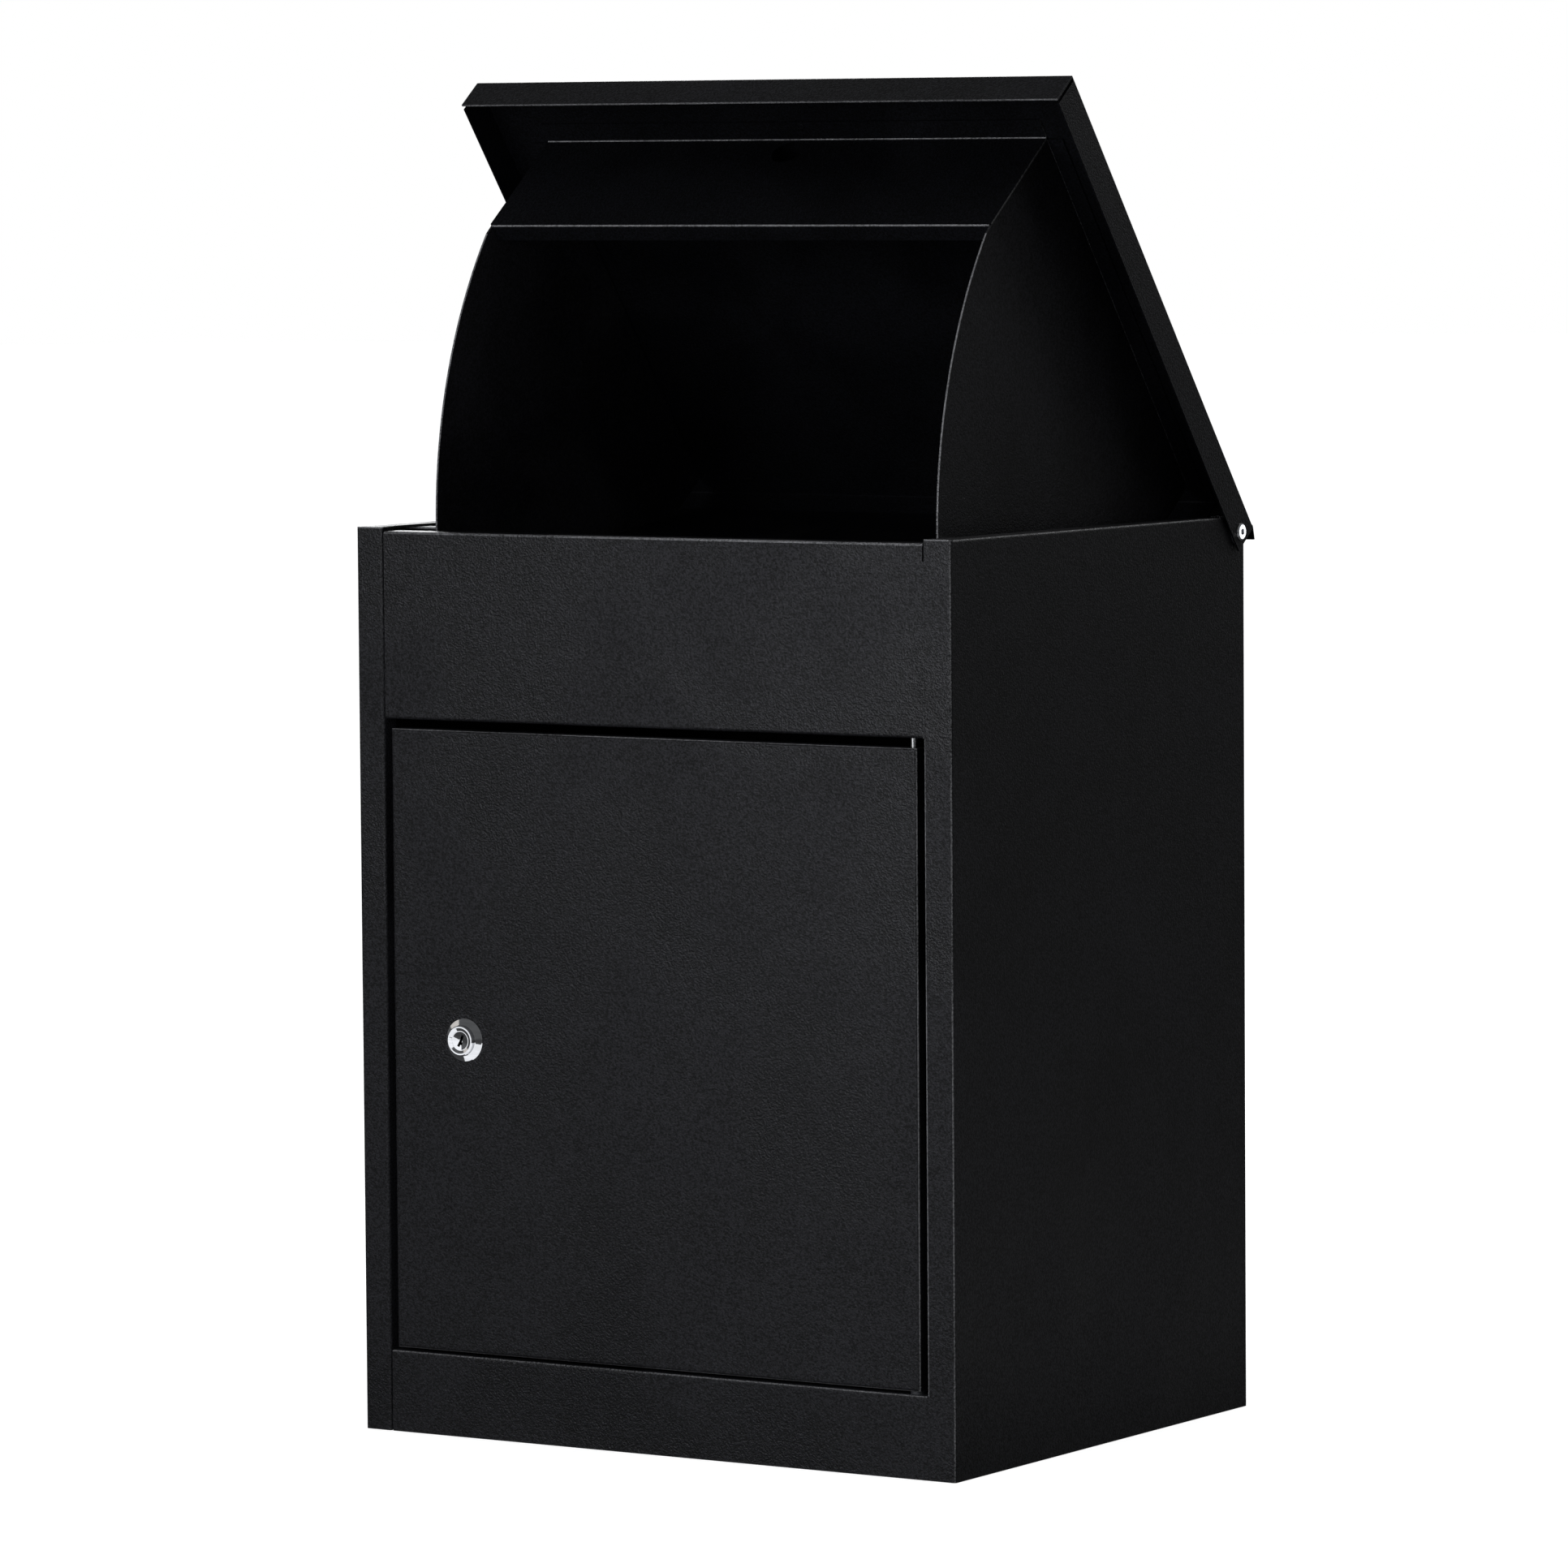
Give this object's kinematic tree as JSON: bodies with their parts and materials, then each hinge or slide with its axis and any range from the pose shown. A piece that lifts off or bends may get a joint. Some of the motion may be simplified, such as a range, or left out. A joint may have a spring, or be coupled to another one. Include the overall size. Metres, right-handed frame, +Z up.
{
  "type": "parcel drop box",
  "caption": "Floor-standing sheet-steel parcel drop box with a lift-up lid carrying a tipping hopper, and a key-locked front door.",
  "frame": {"origin": "centre of the body's footprint on the floor", "axes": "+Z up, -Y out of the door side, +X to the right as seen from the front; the lid is stored standing open at its stop and the door shut"},
  "size_m": [0.448, 0.3773, 0.8549],
  "materials": {
    "powder_coat": "black powder coat, fine texture, low sheen",
    "bright_zinc": "bright zinc plate",
    "chrome": "polished chrome plate",
    "nylon": "dark moulded nylon",
    "rubber": "matt black rubber"
  },
  "bodies": {
    "cabinet": {"left_side_panel": "powder_coat", "right_side_panel": "powder_coat", "back_panel": "powder_coat", "base_panel": "powder_coat", "front_upper_panel": "powder_coat", "front_lower_panel": "powder_coat", "door_hinge_pin_upper": "bright_zinc", "door_hinge_pin_lower": "bright_zinc", "door_spacer_washer": "nylon", "pivot_screw_left": "bright_zinc", "pivot_screw_right": "bright_zinc", "pivot_washer_left": "nylon", "pivot_washer_right": "nylon", "pivot_nut_left": "bright_zinc", "pivot_nut_right": "bright_zinc"},
    "door": {"door_panel": "powder_coat", "lock_housing": "chrome", "lock_nut": "bright_zinc"},
    "lock": {"lock_plug": "chrome", "lock_cam": "bright_zinc", "cam_washer": "bright_zinc", "cam_screw": "bright_zinc"},
    "lid": {"lid_panel": "powder_coat", "hopper_cheek_left": "powder_coat", "hopper_cheek_right": "powder_coat", "hopper_front_panel": "powder_coat", "hopper_tray": "powder_coat", "lid_bumpers": "rubber"}
  },
  "joints": [
    {"name": "lid_hinge", "type": "hinge", "parent": "cabinet", "child": "lid", "pos_m": [0, 0.172, 0.565], "axis": [-1, 0, 0], "range_deg": [-52, 0]},
    {"name": "door_hinge", "type": "hinge", "parent": "cabinet", "child": "door", "pos_m": [0.19, -0.174, 0], "axis": [0, 0, 1], "range_deg": [0, 110]},
    {"name": "lock_turn", "type": "hinge", "parent": "door", "child": "lock", "pos_m": [-0.1403, -0.18, 0.2528], "axis": [0, 1, 0], "range_deg": [0, 90]}
  ]
}
